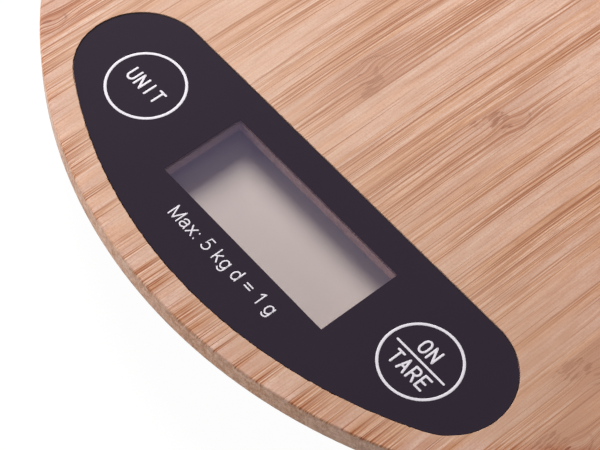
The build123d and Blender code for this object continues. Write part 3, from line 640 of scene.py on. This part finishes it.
def carve(shape, cutters):
    """Cuts blocks out of a shape with Boolean modifiers and returns the new shape."""
    helpers = []
    for index, part in enumerate([shape, *cutters]):
        mesh = bpy.data.meshes.new("carving")
        part.to_mesh(mesh)
        part.free()
        helper = bpy.data.objects.new("carving", mesh)
        bpy.context.scene.collection.objects.link(helper)
        helpers.append(helper)
        if index:
            cut = helpers[0].modifiers.new("cut", "BOOLEAN")
            cut.operation, cut.solver, cut.object = "DIFFERENCE", "EXACT", helper
    bpy.context.view_layer.update()
    result = bmesh.new()
    result.from_mesh(helpers[0].evaluated_get(bpy.context.evaluated_depsgraph_get()).to_mesh())
    for helper in helpers:
        bpy.data.objects.remove(helper)
    return result

# %% [markdown]
# ## The shape of the film
# The film is a segment of a circle with two round corners. It is convex, so its outline is the
# skin stretched round three things: the front arc of the big circle and one small disc in
# each corner. The convex hull operator stretches that skin.

# %% Film outline
def film_block(radius, back_line, corner, low, high):
    """A flat block in the film's outline: an arc in front, a straight back, round corners."""
    corner_y = back_line - corner
    corner_x = sqrt((radius - corner) ** 2 - corner_y ** 2)
    touch_y = corner_y * radius / (radius - corner)
    shape = bmesh.new()
    for level in (low, high):
        arc = bmesh.ops.create_circle(shape, segments=360, radius=radius,
                                      matrix=Matrix.Translation((0, 0, level)))["verts"]
        bmesh.ops.delete(shape, geom=[v for v in arc if v.co.y > touch_y], context="VERTS")
        for hand in (-1, 1):
            bmesh.ops.create_circle(shape, segments=96, radius=corner,
                                    matrix=Matrix.Translation((hand * corner_x, corner_y, level)))
    hull = bmesh.ops.convex_hull(shape, input=shape.verts)
    bmesh.ops.delete(shape, geom=list(set(hull["geom_interior"]) | set(hull["geom_unused"])),
                     context="VERTS")
    bmesh.ops.dissolve_limit(shape, angle_limit=radians(0.05), verts=shape.verts,
                             edges=shape.edges, delimit={"NORMAL"})
    bmesh.ops.recalc_face_normals(shape, faces=shape.faces)
    return shape


def place_of(name):
    """The middle, the size and the low and high corners of a CAD node, in millimetres."""
    low, high = (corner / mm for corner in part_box(name))
    return (low + high) / 2, high - low, low, high


film_low, film_high = place_of("control_film")[2:]
board_size, board_low, board_high = place_of("bamboo_platform")[1:]
window_at, window_size, window_low, window_high = place_of("display_window")
pad_places = {name: place_of(name + "_pad") for name in ("unit", "tare")}
film_radius = -film_low.y
film_back = film_high.y
film_corner = 12.5
pocket_gap, pocket_floor = 0.15, place_of("film_adhesive")[2].z
print("film radius", round(film_radius, 2), "back line", round(film_back, 2))

# %% [markdown]
# ## The bamboo board
# On the bench this is a disc with rounded edges, a shallow pocket milled for the film, a
# window cut through to the display and a hole under each key. The disc starts as an extruded
# circle, its two edges are bevelled, and the pockets are cut out of it as a router would. The
# pocket's lip then gets a hair-fine bevel that wanders a little, since a router tears wood.

# %% Board
rim_roundings = ((board_high.z, 0.5, 5), (board_low.z, 0.8, 6))
display_gap, frame_wall, frame_gap = 0.15, 1.5, 0.2
frame_room = 2 * (display_gap + frame_wall + frame_gap)
key_hole_radius, window_ledge, lip_wear = 7.8, 0.1, 0.12
through = (board_low.z - 1, board_high.z + 1)
display_middle, display_size = place_of("front_glass")[:2]

shape = disc(board_size.x / 2, board_low.z, board_high.z)
for level, rounding, steps in rim_roundings:
    round_edges(shape, flat_edges(shape, level), rounding, steps)
shape = carve(shape, [
    film_block(film_radius + pocket_gap, film_back + pocket_gap, film_corner + pocket_gap,
               pocket_floor, through[1]),
    block(window_at, window_size.x - 2 * window_ledge, window_size.y - 2 * window_ledge, *through),
    block(display_middle, display_size.x + frame_room, display_size.y + frame_room, through[0],
          place_of("front_polarizer")[3].z + 0.01),
    *[disc(key_hole_radius, *through, place[0], 96) for place in pad_places.values()]])
fresh_cut = shape.verts.layers.float.new("fresh_cut")


def pocket_lip():
    """The sharp edges round the pocket, at the top of the board."""
    return [edge for edge in flat_edges(shape, board_high.z)
            if len(edge.link_faces) == 2 and abs(edge.calc_face_angle() - pi / 2) < 0.1]


for too_long, cuts in ((20, 160), (1, 2)):
    bmesh.ops.subdivide_edges(shape, cuts=cuts, edges=[edge for edge in pocket_lip()
                                                       if edge.calc_length() > too_long])
worn = round_edges(shape, pocket_lip(), lip_wear, 2)
for corner in worn["verts"]:
    corner[fresh_cut] = 1.0
    tear = noise.noise(corner.co * 0.9) * 0.08 + noise.noise(corner.co * 2.3) * 0.12
    corner.co += Vector((corner.co.x, corner.co.y, 0)).normalized() * tear
finish_piece(shape, "bamboo_board", bamboo, "platform", ["bamboo_platform"])

# %% [markdown]
# ## The dark film
# The film is printed polycarbonate with a fine velvet texture: nearly black with a plum
# cast, and matt, so its specular level is almost nothing. The bump is a fine even tooth. The
# window's lower edge is chamfered where the clear pane is welded in. The pads over the two keys
# are the same film; they are separate pieces because they travel with the keys.

# %% Film finish and pieces
pad_gap, window_chamfer, pad_rounding = 0.08, 0.3, 0.05
black_film = plain_finish("black_film", srgb(50, 42, 54), srgb(53, 45, 57), 0.45, grain=0.12,
                          depth=0.004, patch=60.0, specular=0.01)
film_cut = (film_low.z - 1, film_high.z + 1)
shape = carve(film_block(film_radius, film_back, film_corner, film_low.z, film_high.z),
              [block(window_at, window_size.x, window_size.y, *film_cut)]
              + [disc(place[1].x / 2 + pad_gap, *film_cut, place[0], 128)
                 for place in pad_places.values()])


def on_window(place):
    """Whether a place lies on one of the window's four sides."""
    return (abs(abs(place.x - window_at.x) - window_size.x / 2) < 1e-3
            or abs(abs(place.y - window_at.y) - window_size.y / 2) < 1e-3)


round_edges(shape, [edge for edge in flat_edges(shape, film_low.z)
                    if all(on_window(corner.co) for corner in edge.verts)], window_chamfer, 1)
finish_piece(shape, "printed_film", black_film, "platform", ["control_film"])
for name, (middle, size, low, high) in pad_places.items():
    shape = disc(size.x / 2, low.z, high.z, middle, 128)
    round_edges(shape, flat_edges(shape, high.z), pad_rounding, 2)
    finish_piece(shape, name + "_key_film", black_film, name + "_key",
                 [name + "_pad"])

# %% [markdown]
# ## White printing
# The rings, the bar and the key words are screen-printed lines of even width. A printed line
# stands two hundredths of a millimetre proud and is a little domed, so each line is a round
# tube pressed nearly flat, and its ends are drawn in with the curve's own radius so that they
# are round. Plain words that say what a key does are drawn with such strokes.

# %% Ink and strokes
white_ink = plain_finish("white_ink", srgb(238, 232, 243), srgb(232, 226, 238), 0.5, grain=0.15,
                         depth=0.003, patch=6.0, specular=0.3)
line_width, ink_height = 0.42, 0.02


def stroke(points, width):
    """A curve through points in millimetres, as thick as a line, with round ends."""
    closed = hypot(points[0][0] - points[-1][0], points[0][1] - points[-1][1]) < 1e-6
    places = [Vector((*point, 0)) for point in (points[:-1] if closed else points)]
    radii = [1.0] * len(places)
    if not closed:
        first, last = places[0], places[-1]
        out_first, out_last = (first - places[1]).normalized(), (last - places[-2]).normalized()
        for angle in (30, 60, 85):
            reach = sin(radians(angle)) * width / 2
            places = [first + out_first * reach, *places, last + out_last * reach]
            radii = [cos(radians(angle)), *radii, cos(radians(angle))]
    line = bpy.data.curves.new("stroke", "CURVE")
    line.dimensions, line.bevel_depth, line.bevel_resolution = "3D", width / 2, 3
    line.use_fill_caps = True
    spline = line.splines.new("POLY")
    spline.points.add(len(places) - 1)
    for point, spot, radius in zip(spline.points, places, radii):
        point.co, point.radius = (*spot, 1), radius
    spline.use_cyclic_u = closed
    helper = bpy.data.objects.new("stroke", line)
    mesh = bpy.data.meshes.new_from_object(helper)
    bpy.data.objects.remove(helper)
    return mesh


def arc(centre, reach, start, end, steps=10):
    """Points along part of an ellipse, angles in degrees."""
    return [(centre[0] + reach[0] * cos(radians(start + (end - start) * step / steps)),
             centre[1] + reach[1] * sin(radians(start + (end - start) * step / steps)))
            for step in range(steps + 1)]

# %% [markdown]
# Each letter is a few strokes in a box one unit wide and one unit high, as a draughtsman's
# lettering stencil draws them. A word sets its letters at one even pitch.

# %% Letters
letters = {
    "U": [[(0, 1), *arc((0.5, 0.28), (0.5, 0.28), 180, 360), (1, 1)]],
    "N": [[(0, 0), (0, 1)], [(0, 1), (1, 0)], [(1, 0), (1, 1)]],
    "I": [[(0.5, 0), (0.5, 1)]],
    "T": [[(0, 1), (1, 1)], [(0.5, 1), (0.5, 0)]],
    "O": [[*arc((0.5, 0.64), (0.5, 0.36), 0, 180), *arc((0.5, 0.36), (0.5, 0.36), 180, 360),
           (1, 0.64)]],
    "A": [[(0, 0), (0.5, 1)], [(0.5, 1), (1, 0)], [(0.2, 0.36), (0.8, 0.36)]],
    "R": [[(0, 0), (0, 1)], [(0, 1), (0.6, 1), *arc((0.6, 0.74), (0.4, 0.26), 90, -90), (0, 0.48)],
          [(0.55, 0.48), (1, 0)]],
    "E": [[(0, 0), (0, 1)], [(0, 1), (1, 1)], [(0, 0.52), (0.8, 0.52)], [(0, 0), (1, 0)]],
}
letter_pitch, letter_width, letter_height = 2.27, 1.45, 2.70


def word_strokes(word, centre):
    """The strokes of a word centred on a place."""
    start = centre[0] - (len(word) - 1) * letter_pitch / 2 - letter_width / 2
    return [[(start + index * letter_pitch + x * letter_width,
              centre[1] + (y - 0.5) * letter_height) for x, y in points]
            for index, letter in enumerate(word) for points in letters[letter]]


def print_on_film(name, strokes, width, body, surface):
    """Presses strokes flat on a surface as one printed piece."""
    shape = bmesh.new()
    for points in strokes:
        mesh = stroke(points, width)
        shape.from_mesh(mesh)
        bpy.data.meshes.remove(mesh)
    bmesh.ops.remove_doubles(shape, verts=shape.verts, dist=1e-5)
    bmesh.ops.scale(shape, vec=(1, 1, 2 * ink_height / width), verts=shape.verts)
    bmesh.ops.translate(shape, vec=(0, 0, surface), verts=shape.verts)
    return finish_piece(shape, name, white_ink, body, crease=60)


ring_radius, ring_width, bar_reach = 7.40, 0.52, 5.75
unit_middle, tare_middle = pad_places["unit"][0], pad_places["tare"][0]
for name, middle in (("unit", unit_middle), ("tare", tare_middle)):
    ring = arc(middle, (ring_radius, ring_radius), 0, 360, 180)
    print_on_film(name + "_ring", [ring], ring_width, "platform", film_high.z)
print_on_film("unit_word", word_strokes("UNIT", unit_middle), line_width, "unit_key",
              film_high.z)
on_at, tare_at = tare_middle + Vector((-0.42, 2.56, 0)), tare_middle - Vector((0, 2.52, 0))
bar = [(tare_middle.x + reach, tare_middle.y) for reach in (-bar_reach, bar_reach)]
print_on_film("tare_words", word_strokes("ON", on_at) + word_strokes("TARE", tare_at) + [bar],
              line_width, "tare_key", film_high.z)

# %% [markdown]
# The capacity line is smaller and lighter. It says in general terms what any such scale says:
# the most that it weighs and the steps that it reads in. Its letters differ in width, so each
# brings its own, and a word sets them one after another with an even gap.

# %% Capacity line
round_bowl = [*arc((0.27, 0.36), (0.27, 0.36), 90, 270), *arc((0.27, 0.36), (0.27, 0.36), -90, 90)]
small_letters = {
    "M": (0.86, [[(0, 0), (0, 1)], [(0, 1), (0.43, 0)], [(0.43, 0), (0.86, 1)],
                 [(0.86, 1), (0.86, 0)]]),
    "a": (0.54, [[(0.02, 0.54), *arc((0.27, 0.5), (0.25, 0.22), 150, 0), (0.52, 0.12), (0.58, 0)],
                 [(0.52, 0.42), (0.3, 0.4), *arc((0.22, 0.2), (0.22, 0.2), 90, 270),
                  *arc((0.22, 0.3), (0.3, 0.3), 270, 350)]]),
    "x": (0.52, [[(0, 0), (0.52, 0.72)], [(0, 0.72), (0.52, 0)]]),
    "5": (0.58, [[(0.52, 1), (0.14, 1), (0.06, 0.5), *arc((0.27, 0.31), (0.31, 0.31), 125, -145)]]),
    "k": (0.5, [[(0, 0), (0, 1)], [(0.46, 0.72), (0.02, 0.3)], [(0.17, 0.44), (0.5, 0)]]),
    "g": (0.54, [round_bowl,
                 [(0.54, 0.7), (0.54, 0.0), *arc((0.28, -0.04), (0.26, 0.24), 0, -150)]]),
    "d": (0.54, [round_bowl, [(0.54, 0), (0.54, 1)]]),
    "=": (0.6, [[(0, 0.62), (0.58, 0.62)], [(0, 0.34), (0.58, 0.34)]]),
    "1": (0.36, [[(0.3, 0), (0.3, 1)], [(0.3, 1), (0.04, 0.76)]]),
    ":": (0.08, [[(0.04, 0.0), (0.04, 0.02)], [(0.04, 0.6), (0.04, 0.62)]]),
    " ": (0.16, []),
}


def line_of_text(text, start, height, gap):
    """The strokes of a line of text from its left end, and where the line ends."""
    strokes, at = [], start[0]
    for letter in text:
        width, shapes = small_letters[letter]
        strokes += [[(at + x * height, start[1] + y * height) for x, y in points]
                    for points in shapes]
        at += (width + gap) * height
    return strokes, at - gap * height


text_left, text_foot, text_height, text_width = -12.9, -87.3, 2.48, 0.28
letter_gap, group_gap = 0.27, 1.6
most, most_end = line_of_text("Max: 5 kg", (text_left, text_foot), text_height, letter_gap)
steps, text_end = line_of_text("d = 1 g", (most_end + group_gap, text_foot), text_height,
                               letter_gap)
print_on_film("capacity_line", most + steps, text_width, "platform", film_high.z)
print("capacity line ends at", round(text_end, 2), "mm")

# %% [markdown]
# ## Window and display
# The window is a clear smoked pane. Below it lies the bare display: a grey polariser, two
# sheets of glass and a silvery reflector that shows as a warm light grey. Sheets this thin are
# made see-through with Alpha, which lets light and shadows fall straight through, where real
# refraction would only add noise.

# %% See-through sheets
def clear_sheet(name, colour, cover, roughness, specular=0.5):
    """A thin tinted sheet; cover is how much of what lies below it hides."""
    made, tree = new_material(name)
    place = node(tree, "TexCoord").outputs["Object"]
    wear = use_group(tree, handling, {"Vector": place, "Patch Size mm": 14.0})
    shader = principled(tree)
    shader.inputs["Specular IOR Level"].default_value = specular
    plug(tree, shader.inputs["Base Color"],
         mix_colour(tree, wear.outputs["Patches"], colour, [value * 0.92 for value in colour]))
    plug(tree, shader.inputs["Alpha"],
         remap(tree, wear.outputs["Patches"], 0, 1, cover * 0.96, cover * 1.04))
    plug(tree, shader.inputs["Roughness"],
         remap(tree, wear.outputs["Patches"], 0, 1, roughness, roughness + 0.05))
    return made


smoked_window = clear_sheet("smoked_window", srgb(156, 142, 188), 0.095, 0.3, 0.1)
display_glass = clear_sheet("display_glass", srgb(128, 118, 124), 0.025, 0.3, 0.1)
clear_sheet("adhesive", srgb(200, 190, 186), 0.06, 0.4, 0.2)
reflector = plain_finish("reflector", srgb(232, 215, 203), srgb(229, 214, 200), 0.45, grain=0.1,
                         depth=0.002, patch=12.0, specular=0.3)
hair_gap = 0.02
shape = block(window_at, window_size.x - hair_gap, window_size.y - hair_gap, window_low.z,
              window_high.z - hair_gap)
finish_piece(shape, "window_pane", smoked_window, "platform", ["display_window"])

# %% [markdown]
# The polariser and the two glass sheets of the display are glued together, with a ledge at
# the back where the rear sheet stops short. They are made as one laminate with that step,
# because a path of light may only cross a few see-through faces before a renderer gives up.
# The reflector lies a hair below and reaches back to the rubber connector.

# %% Display laminate
rear_low, rear_high = place_of("rear_glass")[2:]
shape = block(display_middle, display_size.x, display_size.y, rear_low.z + hair_gap,
              place_of("front_polarizer")[3].z)
ledge_depth = 10
ledge = block((display_middle.x, rear_high.y + ledge_depth / 2), display_size.x + 1, ledge_depth,
              rear_low.z - 1, rear_high.z)
finish_piece(carve(shape, [ledge]), "display_laminate", display_glass, "platform",
             ["front_polarizer", "front_glass", "rear_glass"])
silver_middle, silver_size, silver_low, silver_high = place_of("display_reflector")
silver_back = place_of("zebra_strip")[2].y - 0.03
shape = block((silver_middle.x, (silver_low.y + silver_back) / 2), silver_size.x,
              silver_back - silver_low.y, silver_low.z, silver_high.z)
finish_piece(shape, "silvery_reflector", reflector, "platform",
             ["display_reflector"])

# %% [markdown]
# ## Finishes for the carried-over pieces
# The pieces below the board keep their CAD shapes. Each gets the finish of its real material:
# moulded grain on plastic and rubber, brush marks along rolled metal, and copper tracks under
# the green coat of the circuit board. A finish is named after the slot that the record gives
# the node, so the last cell can look it up by that name.

# %% Plastics, rubber and resin
plain_finish("charcoal_plastic", srgb(52, 51, 54), srgb(60, 58, 61), 0.5, grain=0.35,
             depth=0.02, patch=30.0, specks=0.08)
plain_finish("black_plastic", srgb(34, 34, 36), srgb(40, 40, 42), 0.42, grain=0.3, patch=20.0)
plain_finish("rubber", srgb(38, 37, 38), srgb(48, 46, 46), 0.78, grain=0.25, depth=0.02,
             patch=5.0, specks=0.3, specular=0.3)
plain_finish("silicone", srgb(214, 208, 204), srgb(200, 194, 190), 0.5, grain=0.5)
plain_finish("resin", srgb(16, 16, 18), srgb(24, 24, 26), 0.2, grain=2.0, depth=0.05)

# %% Circuit board, gauges and wires
def copper_tracks(tree, place):
    """A mask of narrow tracks that run straight or at 45 degrees, where cells meet."""
    near, next_near = (node(tree, "TexVoronoi", {"Vector": place, "Scale": 300.0},
                            distance="CHEBYCHEV", feature=feature).outputs["Distance"]
                       for feature in ("F1", "F2"))
    return remap(tree, calc(tree, "SUBTRACT", next_near, near), 0.03, 0.045, 1.0, 0.0)


plain_finish("board", srgb(30, 80, 50), srgb(26, 70, 43), 0.35, grain=0.8,
             marks=(copper_tracks, srgb(40, 96, 58)))
plain_finish("gauge_foil", srgb(196, 136, 60), srgb(150, 92, 40), 0.35, grain=0.5,
             drawn=(0.05, 1, 1))
for name, colour in (("black_wire", srgb(26, 26, 27)), ("red_wire", srgb(168, 30, 26)),
                     ("white_wire", srgb(225, 222, 214))):
    plain_finish(name, colour, colour, 0.4, grain=0.6, patch=8.0)

# %% Metals
plain_finish("steel", srgb(190, 188, 184), srgb(172, 170, 168), 0.28, grain=0.25, depth=0.004,
             metallic=1.0, drawn=(1, 0.03, 1))
plain_finish("zinc_steel", srgb(186, 190, 194), srgb(160, 164, 170), 0.36, grain=1.2,
             depth=0.006, metallic=1.0)
plain_finish("tinned_metal", srgb(208, 206, 200), srgb(186, 184, 178), 0.3, depth=0.006,
             metallic=1.0)
plain_finish("aluminium", srgb(202, 202, 204), srgb(178, 178, 182), 0.34, grain=0.25,
             depth=0.006, metallic=1.0, drawn=(0.03, 1, 1))

# %% Give every CAD node its finish
slots = {entry["node"]: entry["material_slot"] for entry in frame["record"]["subparts"]}
for name, slot in slots.items():
    carried = nodes[name].data.materials
    carried.clear()
    carried.append(bpy.data.materials[slot])
print(len(set(slots.values())), "finishes on", len(slots), "nodes")

# %% [markdown]
# ## Parts that bend with the load
# At full load the platform sinks four tenths of a millimetre, because the load cell's free end
# bends down with it. The cell and what is glued on it bend between the two rows of bolts. The
# wires that end at the circuit board bend just below it. Each is made here as a merged copy of
# its CAD shape; the span where it would bend is worked out, but the copy is not set up to bend.

# %% Copies of the parts that bend
spacer_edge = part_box("cell_spacer")[0].x
joint_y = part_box("load_cell_leads")[0].y
cell_span = ((-spacer_edge, 0, 0), (spacer_edge, 0, 0))
lead_span = tuple((0, joint_y + reach * mm, 0) for reach in (9, 1.6))
for name, span in (("load_cell", cell_span), ("strain_gauges", cell_span),
                   ("gauge_sealant", cell_span), ("load_cell_leads", lead_span),
                   ("battery_lead_negative", lead_span), ("battery_lead_positive", lead_span)):
    shape = bmesh.new()
    shape.from_mesh(nodes[name].data)
    bmesh.ops.remove_doubles(shape, verts=shape.verts, dist=1e-7)
    bmesh.ops.scale(shape, vec=(1 / mm, 1 / mm, 1 / mm), verts=shape.verts)
    finish = bpy.data.materials[slots[name]]
    finish_piece(shape, name + "_bending", finish, span, [name])
